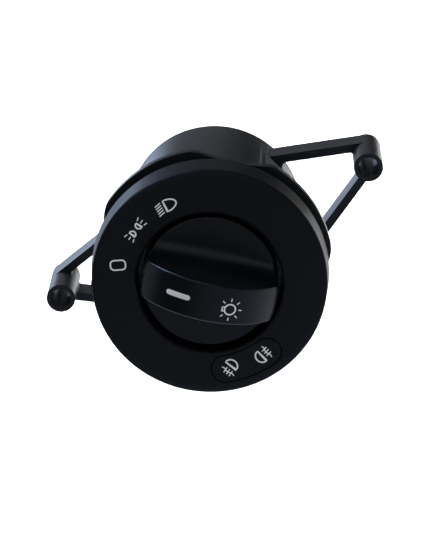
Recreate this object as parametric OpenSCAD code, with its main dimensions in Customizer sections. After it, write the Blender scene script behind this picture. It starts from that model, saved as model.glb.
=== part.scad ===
// Rotary headlight switch. A round bezel carries a crowned knob and a rocking fog-lamp key.
// Behind it a barrel housing is held in the dash by two triangular ears, one screw each.
// X runs to the right, Y runs from the face into the dash, Z runs up.
// The origin lies midway between the two screw bosses, level with their front faces.
// Depths are measured back from the bezel's front face, and angles turn from right to up.

/* [Bezel] */
// Radius of the bezel's front rim
bezel_r = 33; // [32:0.25:36]
// How much the side wall widens towards its rear edge
bezel_flare = 0.6; // [0.2:0.1:1.2]
// Depth of the bezel's side wall
bezel_depth = 9; // [8.8:0.1:10]
// Thickness of the bezel's face
bezel_t = 2; // [1.6:0.1:2.4]
// Thickness of the bezel's side wall
bezel_wall = 1.8; // [1.4:0.1:2]
// Width of the bevel round the face
bevel_w = 2; // [1:0.1:2.2]
// How far the bevel falls back
bevel_drop = 0.5; // [0.3:0.1:1]
// Rounding of the rim outside the bevel
rim_round = 0.7; // [0.4:0.1:1]
// Width of the face from its rim to the round hole for the knob
face_w = 12.65; // [12.4:0.05:12.8]
// Rounding of that hole's front edge
aperture_round = 0.9; // [0.5:0.1:1.2]
// Thickness of the collar behind the hole
collar_t = 1.2; // [0.8:0.1:1.4]
// Thickness of the guard wall round the fog key
guard_t = 0.9; // [0.7:0.1:1]
// Height of that guard wall
guard_h = 2.4; // [1.6:0.1:2.6]
// Height of the snap bead inside the side wall's rear edge
snap_h = 0.4; // [0.2:0.05:0.5]
// Width of the snap bead
snap_w = 0.8; // [0.5:0.1:0.9]

/* [Knob] */
// Gap between the knob and the edge of its hole
knob_gap = 1.3; // [1:0.05:1.6]
// How far the base disc lies behind the bezel's face
knob_inset = 1.7; // [1:0.1:2.2]
// Thickness of the base disc
knob_t = 1.6; // [1.2:0.1:2]
// Thickness of the skirt behind the base disc
skirt_t = 1.65; // [1.2:0.05:2]
// Rounding of the base disc's front edge
knob_edge_round = 0.4; // [0.2:0.05:0.6]
// Width of the grip across its top
grip_w = 11.3; // [10:0.1:12.5]
// Height of the grip's crown above the bezel's face
grip_h = 16; // [14:0.25:18]
// Radius of the crown, seen from the grip's side
crown_r = 22.4; // [21:0.2:26]
// Rounding along the grip's top edges
grip_round = 0.7; // [0.4:0.1:1.2]
// Radius of the hollow between the grip's side and the base disc
scoop_r = 4.6; // [3:0.1:5]
// Wall of the hollow grip
grip_wall = 1.8; // [1.4:0.1:2.2]
// Radius of the hub inside the grip
hub_r = 5.6; // [5.2:0.1:5.6]
// Angle of the pointer at rest, on the off mark
knob_rest = 144; // [130:1:160]
// Angle between two switch positions
knob_step = 25; // [20:1:30]
// Length of the pointer bar
pointer_l = 6.7; // [5:0.1:8]
// Width of the pointer bar
pointer_w = 1.5; // [1.2:0.1:2]
// Distance of the pointer's middle from the switch's axis
pointer_at = 8.35; // [8:0.05:10]

/* [Fog key] */
// Distance of the key's curved middle line from the edge of the knob's hole
key_inset = 5.55; // [5.4:0.05:5.7]
// Width of the key across that line
key_w = 7.8; // [7:0.1:8.2]
// Half of the angle that the key spans
key_half_angle = 23; // [20:0.5:26]
// Clearance round the key
key_gap = 0.3; // [0.25:0.05:0.4]
// Thickness of the key's front
key_t = 1.4; // [1:0.1:1.6]
// Thickness of the key's skirt
key_wall = 1.2; // [0.8:0.1:1.3]
// Depth of the key's skirt
key_depth = 6.4; // [5.8:0.1:6.8]
// Depth of the line that the key rocks about
key_pivot_depth = 4.3; // [4:0.1:4.6]
// Radius of the key's pivot pin
key_pin_r = 1; // [0.8:0.05:1.1]
// Angle from the key's middle to each plunger
plunger_angle = 14; // [11:0.5:15]
// Radius of a plunger
plunger_r = 1.4; // [1:0.1:1.6]

/* [Carrier and front board] */
// Thickness of the carrier's plate
carrier_t = 2.5; // [2:0.1:3]
// Thickness of the carrier's rim
carrier_rim_t = 1.6; // [1.2:0.1:2]
// Outer radius of the bearing sleeve
sleeve_r = 6.3; // [5.6:0.1:6.6]
// Length of the bearing sleeve behind the plate
sleeve_back = 5.1; // [4:0.1:5.2]
// Thickness of the front board
board_t = 1.6; // [1:0.1:1.6]
// Clearance between the front board and the screw bosses
board_gap = 0.4; // [0.2:0.1:0.6]
// Height of a light-emitting diode
led_h = 1.6; // [1:0.1:1.8]
// Thickness of the symbol light guide
guide_t = 3.4; // [2:0.1:3.5]
// Thickness of the rubber mat under the key
mat_t = 0.8; // [0.6:0.1:1]
// Height of a rubber dome above the mat
dome_h = 1.5; // [1:0.1:1.6]
// Radius of the screws that hold the carrier
screw_r = 1.2; // [1:0.05:1.4]
// Radius of their heads
screw_head_r = 2.2; // [1.8:0.1:2.3]
// Height of their heads
screw_head_h = 1.5; // [1:0.1:2]
// Plastic round a screw in the carrier
screw_boss_t = 1; // [0.8:0.1:1.2]
// Distance of the screws' axes from the carrier's edge
screw_inset = 2.1; // [1.9:0.1:2.2]
// Radius of the pins that join the front board and the contact plate
link_pin_r = 0.35; // [0.25:0.05:0.4]
// Distance between neighbouring ones of those pins
link_pitch = 2.2; // [1.8:0.1:2.4]
// Distance of their row from the inside of the barrel
link_inset = 4.2; // [4:0.1:4.3]

/* [Housing] */
// Depth of the flange's front face
flange_depth = 13.5; // [13.5:0.1:15]
// Thickness of the flange
flange_t = 2.5; // [2:0.1:3.5]
// How far the flange's four lobes stand out past the bezel's front rim
lobe_reach = 1.8; // [1:0.1:3]
// Rounding of the lobes' corners
lobe_round = 9; // [3:0.5:12]
// How far the hollows between the lobes lie inside that rim
hollow_inset = 1.2; // [0.4:0.1:1.4]
// Radius that the hollows are cut with
hollow_r = 60; // [40:5:120]
// Angle of the first hollow
hollow_angle = 54.5; // [50:0.5:60]
// How far the bezel's front rim stands out past the barrel
bezel_overhang = 6.7; // [6.5:0.05:6.8]
// Wall of the barrel
barrel_wall = 2; // [1.6:0.1:2.2]
// Wall of the spigots that enter the barrel from the front and from the rear
spigot_t = 1.6; // [1.2:0.1:2]
// Length of the rear cover's spigot
spigot_l = 6; // [5.6:0.1:7]
// Length of the rear cover behind the barrel
cover_l = 4; // [3.6:0.1:5]
// Thickness of the rear cover's plate
cover_t = 2.6; // [2:0.1:3]
// Overall depth behind the bezel's face
overall_depth = 69.5; // [69:0.25:72]
// Width of the snap hooks on the rear cover
hook_w = 4.6; // [3.6:0.1:5]
// Height of the windows that the hooks snap into
hook_window_h = 2.6; // [2.4:0.1:3]
// Distance of the windows from the barrel's rear end
hook_inset = 2.1; // [1.8:0.1:2.4]

/* [Ears] */
// Distance between the two screw bosses
boss_spacing = 100; // [96:0.5:106]
// Outer radius of a screw boss
boss_r = 4.3; // [3.8:0.1:5]
// Radius of the screw hole
boss_hole_r = 3; // [2.2:0.1:3.2]
// Length of a boss, which ends level with the barrel
boss_l = 20.9; // [19:0.1:24]
// Thickness of the straps
strap_t = 2.5; // [2:0.1:3]
// Distance of the straps from the barrel's rear end
strap_inset = 0.6; // [0.4:0.1:1.2]
// Width of the straps from front to back
strap_w = 8.5; // [7:0.1:8.6]
// Slope of the upper strap
upper_slope = 15.3; // [12:0.1:18]
// Slope of the lower strap
lower_slope = 31; // [29:0.1:31.5]
// Rounding where the straps meet the barrel and the bosses
ear_fillet = 1.5; // [0.8:0.1:2.5]
// Height of the upper stiffening web above the axis
web_z = 13.2; // [12.4:0.1:14]
// Thickness of the stiffening webs
web_t = 1.2; // [0.8:0.1:1.6]

/* [Spindle and rotor] */
// Radius of the spindle
spindle_r = 3.5; // [3.2:0.1:3.6]
// Distance of the spindle's drive flat from its axis
spindle_flat = 2.7; // [2.5:0.1:2.9]
// Radius of the spindle's rear journal
journal_r = 2.5; // [2:0.1:2.6]
// Running clearance of the spindle in its bearings
run_gap = 0.05; // [0.02:0.01:0.1]
// Gap between the rotor and the detent ring's track
rotor_gap = 2.2; // [2:0.1:2.4]
// Plastic between the spindle and the floor of a spring pocket
pocket_wall = 2.5; // [2:0.1:3.5]
// Depth at which the rotor begins
rotor_front = 19.8; // [19.7:0.1:20.2]
// Radius of the detent balls
ball_r = 2; // [1.6:0.1:2]
// Width of the detent ring from its track to its outside
ring_t = 6.6; // [6.2:0.1:6.7]
// Clearance between a ball and the track
ball_gap = 0.2; // [0.15:0.05:0.3]
// Depth of the detent notches
notch_depth = 0.3; // [0.2:0.05:0.5]
// Depth at which the detent ring begins
detent_front = 21; // [20.8:0.1:21.2]
// Width of the detent ring from front to back
detent_w = 6.4; // [6:0.1:6.6]
// Mean radius of the detent springs
coil_r = 1.4; // [1.1:0.1:1.5]
// Radius of the spring wire
coil_wire_r = 0.25; // [0.15:0.05:0.3]

/* [Contacts and connector] */
// Depth at which the contact plate begins
plate_depth = 38; // [37.8:0.1:38.4]
// Thickness of the contact plate
plate_t = 3; // [2.4:0.1:3.6]
// Thickness of the copper tracks
copper_t = 0.4; // [0.3:0.05:0.6]
// Distance of the innermost copper track's edge from the spindle's journal
copper_inset = 4.2; // [3.6:0.1:4.3]
// Width of the copper tracks
copper_w = 2.2; // [1.6:0.1:2.2]
// Gap between neighbouring copper tracks
copper_gap = 0.8; // [0.7:0.1:0.8]
// Number of connector pins in a row
pins_per_row = 6; // [4:1:7]
// Distance between neighbouring pins
pin_pitch = 4; // [3:0.1:4]
// Distance between the two rows
row_pitch = 7; // [6.6:0.1:7.4]
// Width of a connector pin
pin_w = 1.5; // [1:0.1:1.8]
// Thickness of a connector pin
pin_t = 0.8; // [0.6:0.1:1]
// Inner width of the connector socket
socket_w = 28; // [27:0.5:29]
// Inner height of the connector socket
socket_h = 12; // [11:0.5:13]
// Wall of the connector socket
socket_wall = 1.6; // [1.2:0.1:2]
// Depth of the socket's inside
socket_depth = 14; // [12:0.5:15]

/* [Hidden] */
$fn = 96;

// Cuts run this far past a face
eps = 0.5;
// Pieces that are pushed together keep this clearance
fit_gap = 0.05;
// Loose clearance between fixed pieces
loose_gap = 0.1;

black = "#17181b";
dark_plastic = "#202226";
clear_plastic = "#dfe6ea";
white_plastic = "#eceff0";
grey_plastic = "#8b9094";
rubber = "#3a3f45";
board_green = "#1f5a3a";
steel = "#b4b8bb";
copper = "#b9814a";

bezel_back_r = bezel_r + bezel_flare;
aperture_r = bezel_r - face_w;
knob_r = aperture_r - knob_gap;
key_mid_r = aperture_r + key_inset;
carrier_r = bezel_r - bezel_wall - loose_gap;
snap_r = carrier_r - snap_h;
screw_at = carrier_r - screw_inset;
board_r = screw_at - screw_r - screw_boss_t - board_gap;
barrel_r = bezel_r - bezel_overhang;
barrel_depth = overall_depth - cover_l;
flange_r = bezel_r + lobe_reach;
flange_in = bezel_r - hollow_inset;
boss_front = barrel_depth - boss_l;
collar_r = aperture_r + collar_t;
plate_front = flange_depth - carrier_t;
board_front = plate_front - board_t;
collar_depth = board_front - 0.8;
skirt_depth = board_front - 1;
guard_back = bezel_t + guard_h;
guide_back = bezel_t + guide_t;
carrier_rim_front = guide_back + loose_gap;
sleeve_front = 6.6;
sleeve_end = flange_depth + sleeve_back;
clip_t = 0.6;
clip_front = sleeve_end + 0.2;
hub_back = sleeve_front - 0.4;
spindle_front = -9;
journal_front = plate_depth - 0.6;
rotor_back = plate_depth - 4;
inner_r = barrel_r - barrel_wall;
insert_r = inner_r - loose_gap;
spigot_in = insert_r - spigot_t;
track_r = insert_r - ring_t;
rotor_r = track_r - rotor_gap;
link_at = insert_r - link_inset;
link_reach = 2.5 * link_pitch + link_pin_r;
detent_back = detent_front + detent_w;
ball_depth = (detent_front + detent_back) / 2;
ball_at = track_r - ball_gap - ball_r;
spring_pocket_r = ball_r + 0.15;
spring_start = spindle_r + pocket_wall;
plate_back = plate_depth + plate_t;
socket_floor = overall_depth - socket_depth;
floor_t = 2;
block_back = socket_floor - floor_t - fit_gap;
pin_end = overall_depth - 5;
boss_x = boss_spacing / 2;
strap_back = barrel_depth - strap_inset;
strap_front = strap_back - strap_w;
journal_end = plate_back + 0.5;
copper_pitch = copper_w + copper_gap;
copper_r = journal_r + copper_inset + copper_w / 2;
// As many copper tracks as the rotor's rear face has room for, outside the journal
copper_tracks = floor((rotor_r - 0.3 - journal_r - copper_inset + copper_gap) / copper_pitch);
hook_back = barrel_depth - hook_inset;
hook_front = hook_back - hook_window_h;
key_end_angle = key_half_angle - asin(key_w / 2 / key_mid_r);
window_base = 9;
disc_back = knob_inset + knob_t;
key_room_depth = key_depth + 0.8;
// Three of the flange's lobes take a screw, and the fog key fills the fourth's place
screw_angles = [for (i = [0:2]) hollow_angle - 45 + 90 * i];
symbol_angles = [for (i = [0:2]) knob_rest - i * knob_step];

// Points along an arc, from angle a to angle b
function arc(x, y, r, a, b, n = 8) =
    [for (i = [0:n]) [x + r * cos(a + (b - a) * i / n), y + r * sin(a + (b - a) * i / n)]];

// Places a shape that is drawn as seen from the front, with its Z towards the viewer
module face_on() {
    translate([0, -boss_front, 0]) rotate([90, 0, 0]) children();
}

// The same, turned with the knob so that X runs along the grip to the pointer
module on_knob() {
    face_on() rotate(knob_rest) children();
}

// A slab from one depth to another, with its outline drawn as seen from the front
module slab(front, back) {
    translate([0, 0, -back]) linear_extrude(back - front) children();
}

// An outline bent round the axis, with round ends
module kidney(grow) {
    half = key_w / 2 + grow;
    end = key_end_angle;
    end_x = key_mid_r * sin(end);
    end_y = -key_mid_r * cos(end);
    step = 15;
    polygon(concat(
        arc(0, 0, key_mid_r + half, -90 - end, -90 + end, 16),
        arc(end_x, end_y, half, end - 90 + step, end + 90 - step, 10),
        arc(0, 0, key_mid_r - half, -90 + end, -90 - end, 16),
        arc(-end_x, end_y, half, 90 - end + step, 270 - end - step, 10)));
}

// A pie-shaped area from the X axis through an angle
module wedge(angle) {
    reach = 3 * barrel_r;
    polygon(concat([[0, 0]], [for (i = [0:6]) reach * [cos(angle * i / 6), sin(angle * i / 6)]]));
}

// An arc-shaped band between two angles
module band(inner, outer, from, to) {
    intersection() {
        difference() {
            circle(outer);
            circle(inner);
        }
        rotate(from) wedge(to - from);
    }
}

// A slot with round ends along X
module stadium(length, width) {
    square([length - width, width], center = true);
    for (side = [-1, 1]) {
        translate([side * (length - width) / 2, 0]) circle(width / 2, $fn = 32);
    }
}

// A round bar with one flat, which drives the knob and the rotor
module drive_bar(grow) {
    difference() {
        circle(spindle_r + grow);
        translate([-spindle_r - 1, spindle_flat + grow]) square([2 * spindle_r + 2, spindle_r]);
    }
}

// The crowned wheel whose slice is the grip, lying across the knob
module grip_wheel(r, w, rounding) {
    half = w / 2;
    profile = concat([[0, -half]], arc(r - rounding, -half + rounding, rounding, -90, 0, 5),
        arc(r - rounding, half - rounding, rounding, 0, 90, 5), [[0, half]]);
    translate([0, 0, grip_h - crown_r]) rotate([90, 0, 0])
        rotate_extrude($fn = 180) polygon(profile);
}

// Fills the corner where a face at height y = level leaves a circle round the origin
module corner_fill(circle_r, level, fillet) {
    cx = sqrt(pow(circle_r + fillet, 2) - pow(level + fillet, 2));
    cy = level + fillet;
    touch = circle_r / (circle_r + fillet);
    difference() {
        polygon([[cx, level - 1], [cx, cy], [cx * touch, cy * touch],
            [cx * touch - 1, cy * touch], [cx * touch - 1, level - 1]]);
        translate([cx, cy]) circle(fillet, $fn = 48);
    }
}

module bezel() {
    face_r = bezel_r - rim_round - bevel_w;
    rim_r = bezel_r - rim_round;
    profile = concat(
        [[aperture_r, -collar_depth]],
        arc(aperture_r + aperture_round, -aperture_round, aperture_round, 180, 90),
        [[face_r, 0]],
        arc(rim_r, -bevel_drop - rim_round, rim_round, 90, 0, 6),
        [[bezel_back_r, -bezel_depth], [snap_r, -bezel_depth], [snap_r, snap_w - bezel_depth],
         [carrier_r + loose_gap, snap_w - bezel_depth],
         [bezel_back_r - bezel_wall, 2 * snap_w - bezel_depth],
         [bezel_r - bezel_wall, -bezel_t], [collar_r, -bezel_t], [collar_r, -collar_depth]]);
    color(black) face_on() difference() {
        union() {
            rotate_extrude() polygon(profile);
            slab(bezel_t - 0.1, guard_back) kidney(key_gap + guard_t);
        }
        slab(-eps, guard_back + eps) kidney(key_gap);
    }
}

module light_guide() {
    gap_angle = key_half_angle + 5;
    color(clear_plastic) face_on() slab(bezel_t, guide_back)
        band(collar_r + loose_gap, carrier_r - loose_gap, gap_angle - 90, 270 - gap_angle);
}

module fog_key() {
    color(black) face_on() {
        difference() {
            slab(0, key_depth) kidney(0);
            slab(key_t, key_depth + eps) kidney(-key_wall);
        }
        // Pivot pin, moulded across the inside
        translate([0, -key_mid_r + key_w / 2 - key_wall / 2, -key_pivot_depth])
            rotate([90, 0, 0]) cylinder(r = key_pin_r, h = key_w - key_wall, $fn = 48);
        for (side = [-1, 1]) {
            rotate(side * plunger_angle) translate([0, -key_mid_r, -key_depth])
                cylinder(r = plunger_r, h = key_depth - key_t / 2, $fn = 48);
        }
    }
}

module key_mat() {
    dome_base_r = plunger_r + 0.8;
    color(rubber) face_on() {
        difference() {
            slab(board_front - mat_t, board_front) kidney(-key_wall - loose_gap);
            slab(board_front - mat_t - eps, board_front + eps) post_outline(0.3);
        }
        for (side = [-1, 1]) {
            rotate(side * plunger_angle) translate([0, -key_mid_r, -board_front + mat_t - 0.1])
                rotate_extrude($fn = 48) polygon([[0, 0], [dome_base_r, 0],
                    [plunger_r + 0.1, dome_h], [0, dome_h + 0.1]]);
        }
    }
}

// The knob's outside: a base disc with a skirt, and the crowned grip with hollowed sides
module knob_form() {
    half = grip_w / 2;
    rotate_extrude() polygon(concat([[0, -skirt_depth], [knob_r, -skirt_depth]],
        arc(knob_r - knob_edge_round, -knob_inset - knob_edge_round, knob_edge_round, 0, 90, 4),
        [[0, -knob_inset]]));
    intersection() {
        translate([0, 0, -disc_back]) cylinder(r = knob_r, h = grip_h + disc_back + 1);
        union() {
            grip_wheel(crown_r, grip_w, grip_round);
            difference() {
                translate([-knob_r - 1, -half - scoop_r, -disc_back])
                    cube([2 * knob_r + 2, grip_w + 2 * scoop_r, knob_t + scoop_r]);
                for (side = [-1, 1]) {
                    translate([-knob_r - 2, side * (half + scoop_r), scoop_r - knob_inset])
                        rotate([0, 90, 0]) cylinder(r = scoop_r, h = 2 * knob_r + 4);
                }
            }
        }
    }
}

module knob() {
    pocket_r = knob_r - skirt_t - 0.6;
    color(black) on_knob() difference() {
        knob_form();
        difference() {
            union() {
                translate([0, 0, -skirt_depth - eps])
                    cylinder(r = knob_r - skirt_t, h = skirt_depth - disc_back + eps);
                intersection() {
                    grip_wheel(crown_r - grip_wall, grip_w - 2 * grip_wall, 0.5);
                    translate([0, 0, -disc_back - eps]) cylinder(r = pocket_r, h = grip_h + 5);
                }
            }
            translate([0, 0, -hub_back]) cylinder(r = hub_r, h = grip_h + hub_back);
        }
        slab(spindle_front - fit_gap, skirt_depth + eps) drive_bar(fit_gap / 2);
        slab(-grip_h - 1, -window_base) translate([pointer_at, 0])
            stadium(pointer_l, pointer_w);
    }
}

module pointer_window() {
    color(white_plastic) on_knob() intersection() {
        slab(-grip_h - 1, -window_base) translate([pointer_at, 0])
            stadium(pointer_l - fit_gap, pointer_w - fit_gap);
        grip_wheel(crown_r, grip_w - 2 * grip_wall, 0.5);
    }
}

module knob_light_guide() {
    ring_in = hub_r + 1.1;
    ring_out = knob_r - skirt_t - 0.5;
    fin_end = pointer_at + pointer_l / 2 - 0.4;
    lamp_fin_top = -window_base - 1.8;
    color(clear_plastic) on_knob() {
        slab(disc_back, disc_back + 2) difference() {
            circle(ring_out);
            circle(ring_in);
        }
        slab(-window_base + loose_gap, disc_back + 0.1)
            translate([ring_in, -pointer_w / 2 + 0.1]) square([fin_end - ring_in, pointer_w - 0.2]);
        slab(lamp_fin_top, disc_back + 0.1)
            translate([-ring_in - 3.2, -2.4]) square([3.2, 4.8]);
    }
}

// Spring ring round the hub
module knob_clip() {
    color(steel) on_knob() slab(disc_back + 0.9, disc_back + 2) difference() {
        circle(hub_r + 0.8);
        circle(hub_r + 0.02);
        translate([0, -1]) square([2 * hub_r, 2]);
    }
}

module spindle() {
    color(grey_plastic) on_knob() difference() {
        union() {
            slab(spindle_front, hub_back + 0.2) drive_bar(0);
            slab(hub_back + 0.2, rotor_front) circle(spindle_r);
            slab(rotor_front, rotor_back) drive_bar(0);
            slab(rotor_back, journal_front) circle(spindle_r);
            slab(journal_front, journal_end) circle(journal_r);
        }
        slab(clip_front - 0.02, clip_front + clip_t + 0.02) difference() {
            circle(spindle_r + 1);
            circle(spindle_r - 0.5);
        }
    }
}

// Open ring in the spindle's groove, behind the bearing sleeve
module spindle_clip() {
    color(steel) on_knob() slab(clip_front, clip_front + clip_t) difference() {
        circle(spindle_r + 1.8);
        circle(spindle_r - 0.46);
        translate([0, -spindle_r * 0.7]) square([3 * spindle_r, spindle_r * 1.4]);
    }
}

// Outline of the post that carries the fog key's pivot
module post_outline(grow) {
    post_w = 2 * key_pin_r + 1.6;
    post_l = key_w - 2 * key_wall - 2;
    translate([0, -key_mid_r]) square([post_w + 2 * grow, post_l + 2 * grow], center = true);
}

module carrier() {
    post_top = key_pivot_depth - key_pin_r - 0.6;
    // Groove that the bezel's bead snaps into
    snap_front = bezel_depth - snap_w - loose_gap;
    snap_back = bezel_depth + loose_gap;
    profile = [[spindle_r + run_gap, -sleeve_end], [spindle_r + run_gap, -sleeve_front],
        [sleeve_r, -sleeve_front], [sleeve_r, -plate_front],
        [carrier_r - carrier_rim_t, -plate_front], [carrier_r - carrier_rim_t, -carrier_rim_front],
        [carrier_r, -carrier_rim_front], [carrier_r, -snap_front], [snap_r - loose_gap, -snap_front],
        [snap_r - loose_gap, -snap_back], [carrier_r, -snap_back], [carrier_r, -flange_depth],
        [insert_r, -flange_depth], [insert_r, -detent_front + loose_gap],
        [spigot_in, -detent_front + loose_gap], [spigot_in, -flange_depth],
        [sleeve_r, -flange_depth], [sleeve_r, -sleeve_end]];
    color(dark_plastic) face_on() difference() {
        union() {
            rotate_extrude() polygon(profile);
            for (a = screw_angles) {
                rotate(a) slab(carrier_rim_front, plate_front + 0.1) intersection() {
                    translate([screw_at, 0]) circle(screw_r + screw_boss_t);
                    circle(carrier_r - carrier_rim_t / 2);
                }
            }
            slab(post_top, plate_front + 0.1) post_outline(0);
        }
        for (a = screw_angles) {
            rotate(a) translate([screw_at, 0, -flange_depth - eps])
                cylinder(r = screw_r + fit_gap, h = flange_depth + eps - key_depth - 0.4, $fn = 48);
        }
        // Bearing of the fog key, open to the front so that the pin snaps in
        translate([0, -key_mid_r + key_w / 2, -key_pivot_depth])
            rotate([90, 0, 0]) cylinder(r = key_pin_r + run_gap, h = key_w, $fn = 48);
        slab(post_top - eps, key_pivot_depth) translate([-key_pin_r * 0.8, -key_mid_r - key_w / 2])
            square([key_pin_r * 1.6, key_w]);
        slab(plate_front - eps, flange_depth + eps) link_slot();
        // Room for the fog key's skirt, which dips as the key rocks
        slab(carrier_rim_front - eps, key_room_depth) difference() {
            kidney(key_gap);
            post_outline(eps);
        }
    }
}

// Passage for the row of pins that joins the front board and the contact plate
module link_slot() {
    translate([0, link_at]) square([2 * link_reach + 2.3, 2], center = true);
}

module front_board() {
    color(board_green) face_on() slab(board_front, plate_front) difference() {
        circle(board_r);
        circle(sleeve_r + 2);
        post_outline(0.3);
        for (x = link_pin_places()) {
            translate([x, link_at]) circle(link_pin_r + fit_gap, $fn = 24);
        }
    }
}

module leds() {
    color(white_plastic) face_on() {
        for (a = concat(symbol_angles, [-90 - key_half_angle - 9, -90 + key_half_angle + 9])) {
            rotate(a) translate([board_r - 2.6, 0, -board_front + led_h / 2])
                cube([2.6, 3, led_h], center = true);
        }
        for (a = [knob_rest, knob_rest + 180]) {
            rotate(a) translate([(sleeve_r + knob_r - skirt_t) / 2, 0, -board_front + led_h / 2])
                cube([3, 2.6, led_h], center = true);
        }
    }
}

function link_pin_places() = [for (i = [-2.5:1:2.5]) i * link_pitch];

module link_pins() {
    color(copper) face_on() for (x = link_pin_places()) {
        translate([x, link_at, -plate_depth - 1])
            cylinder(r = link_pin_r, h = plate_depth + 1 - board_front + 0.5, $fn = 24);
    }
}

// Four lobes with a shallow hollow between each two
module flange_outline() {
    offset(r = lobe_round) offset(delta = -lobe_round) difference() {
        circle(flange_r);
        for (i = [0:3]) {
            rotate(hollow_angle + 90 * i) translate([flange_in + hollow_r, 0]) circle(hollow_r, $fn = 180);
        }
    }
}

// One ear on the right: two straps that wrap the boss and run back to the barrel
module ear_outline() {
    upper_level = boss_x * sin(upper_slope) + boss_r;
    lower_level = boss_x * sin(lower_slope) + boss_r;
    upper_reach = boss_x * cos(upper_slope);
    lower_reach = boss_x * cos(lower_slope);
    root_angle = 22;
    rotate(-upper_slope) {
        translate([barrel_r * 0.7, upper_level - strap_t]) square([upper_reach - barrel_r * 0.7, strap_t]);
        mirror([0, 1]) corner_fill(barrel_r, strap_t - upper_level, ear_fillet);
        translate([upper_reach, boss_x * sin(upper_slope)]) rotate(180)
            corner_fill(boss_r, strap_t - boss_r, ear_fillet / 2);
    }
    rotate(lower_slope) {
        translate([0, -lower_level]) square([lower_reach, strap_t]);
        difference() {
            polygon([[0, -lower_level], [lower_reach * 0.3, -lower_level],
                [barrel_r * 0.62, strap_t - lower_level], [barrel_r * 0.62, -barrel_r * 0.7],
                (barrel_r - 0.8) * [-sin(root_angle), -cos(root_angle)]]);
            translate([barrel_r * 0.62 + 0.2, strap_t - lower_level + 4.2]) circle(4.2);
        }
        translate([lower_reach, -boss_x * sin(lower_slope)]) mirror([1, 0])
            corner_fill(boss_r, strap_t - boss_r, ear_fillet / 2);
    }
}

// Stiffeners of one ear: a level web above and a rib below, both running to the flange
module ear_webs(tip_r) {
    flange_back = flange_depth + flange_t;
    root_x = sqrt(pow(barrel_r - barrel_wall / 2, 2) - pow(web_z, 2));
    tip_x = sqrt(pow(tip_r, 2) - pow(web_z, 2)) - 0.4;
    foot_x = sqrt(pow(barrel_r, 2) - pow(web_z, 2));
    translate([0, web_z, 0]) rotate([90, 0, 0]) linear_extrude(web_t)
        polygon([[root_x, -flange_back + 0.1], [tip_x, -flange_back + 0.1],
            [foot_x, -strap_front], [root_x, -strap_front - 0.1]]);
    rotate(lower_slope - 90) slab(flange_back - 0.1, strap_front + 0.1)
        translate([barrel_r - barrel_wall / 2, -web_t]) square([3.4, 2 * web_t]);
}

// Hook places of the rear cover, clear of the ears' roots
hook_angles = [-22, 202, 270];

module housing() {
    rib_r = inner_r - 1.3;
    color(black) face_on() {
        difference() {
            union() {
                slab(flange_depth, flange_depth + flange_t) flange_outline();
                slab(flange_depth + flange_t / 2, barrel_depth) circle(barrel_r);
                for (side = [0, 1]) {
                    mirror([side, 0, 0]) {
                        slab(strap_front, strap_back) ear_outline();
                        slab(boss_front, boss_front + boss_l) translate([boss_x, 0]) circle(boss_r);
                        ear_webs([flange_r, flange_in][side]);
                    }
                }
            }
            slab(flange_depth - eps, barrel_depth + eps) circle(inner_r);
            for (side = [-1, 1]) {
                slab(boss_front - eps, boss_front + boss_l + eps)
                    translate([side * boss_x, 0]) circle(boss_hole_r);
            }
            for (a = screw_angles) {
                rotate(a) translate([screw_at, 0, -flange_depth - flange_t - eps])
                    cylinder(r = screw_r + fit_gap, h = flange_t + 2 * eps, $fn = 48);
            }
            for (a = hook_angles) {
                rotate(a) translate([inner_r - 1, -hook_w / 2 - 0.3, -hook_back])
                    cube([barrel_wall + 2, hook_w + 0.6, hook_window_h]);
            }
        }
        // Ribs that stop the detent ring from the front and the contact plate from behind
        for (a = [45, 135, 225, 315]) {
            rotate(a) slab(detent_back + loose_gap, plate_depth - loose_gap)
                translate([rib_r, -1.5]) square([inner_r - rib_r + 0.5, 3]);
        }
    }
}

module detent_ring() {
    notch_r = ball_r + 0.2;
    link_angle = asin((link_reach + 1) / link_at);
    color(white_plastic) face_on() slab(detent_front, detent_back) difference() {
        circle(insert_r);
        circle(track_r);
        for (a = symbol_angles) {
            for (turn = [0, 180]) {
                rotate(a + turn) translate([track_r + notch_depth - notch_r, 0]) circle(notch_r, $fn = 48);
            }
        }
        for (i = [1:7]) {
            band(track_r + spigot_t, spigot_in, 90 + i * 45 - 14, 90 + i * 45 + 14);
        }
        // Passage for the pins of the front board
        band(track_r + 1.3, spigot_in, 90 - link_angle, 90 + link_angle);
    }
}

module detent_balls() {
    color(steel) on_knob() for (turn = [0, 180]) {
        rotate(turn) translate([ball_at, 0, -ball_depth]) sphere(r = ball_r, $fn = 48);
    }
}

// A coil that runs out along X, swept as a six-sided wire
module coil(start, end, turns) {
    sides = 6;
    steps = turns * 10;
    travel = end - start - 2 * coil_wire_r;
    points = [for (i = [0:steps]) for (j = [0:sides - 1])
        let (a = 360 * turns * i / steps, b = 360 * j / sides, r = coil_r + coil_wire_r * cos(b))
        [start + coil_wire_r + travel * i / steps + coil_wire_r * sin(b), r * cos(a), r * sin(a)]];
    sides_faces = [for (i = [0:steps - 1]) for (j = [0:sides - 1])
        let (k = (j + 1) % sides)
        [i * sides + j, (i + 1) * sides + j, (i + 1) * sides + k, i * sides + k]];
    caps = [[for (j = [0:sides - 1]) j], [for (j = [sides - 1:-1:0]) steps * sides + j]];
    polyhedron(points, concat(sides_faces, caps));
}

module detent_springs() {
    color(steel) on_knob() for (turn = [0, 180]) {
        rotate(turn) translate([0, 0, -ball_depth])
            coil(spring_start + loose_gap, ball_at - ball_r - loose_gap, 4);
    }
}

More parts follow.
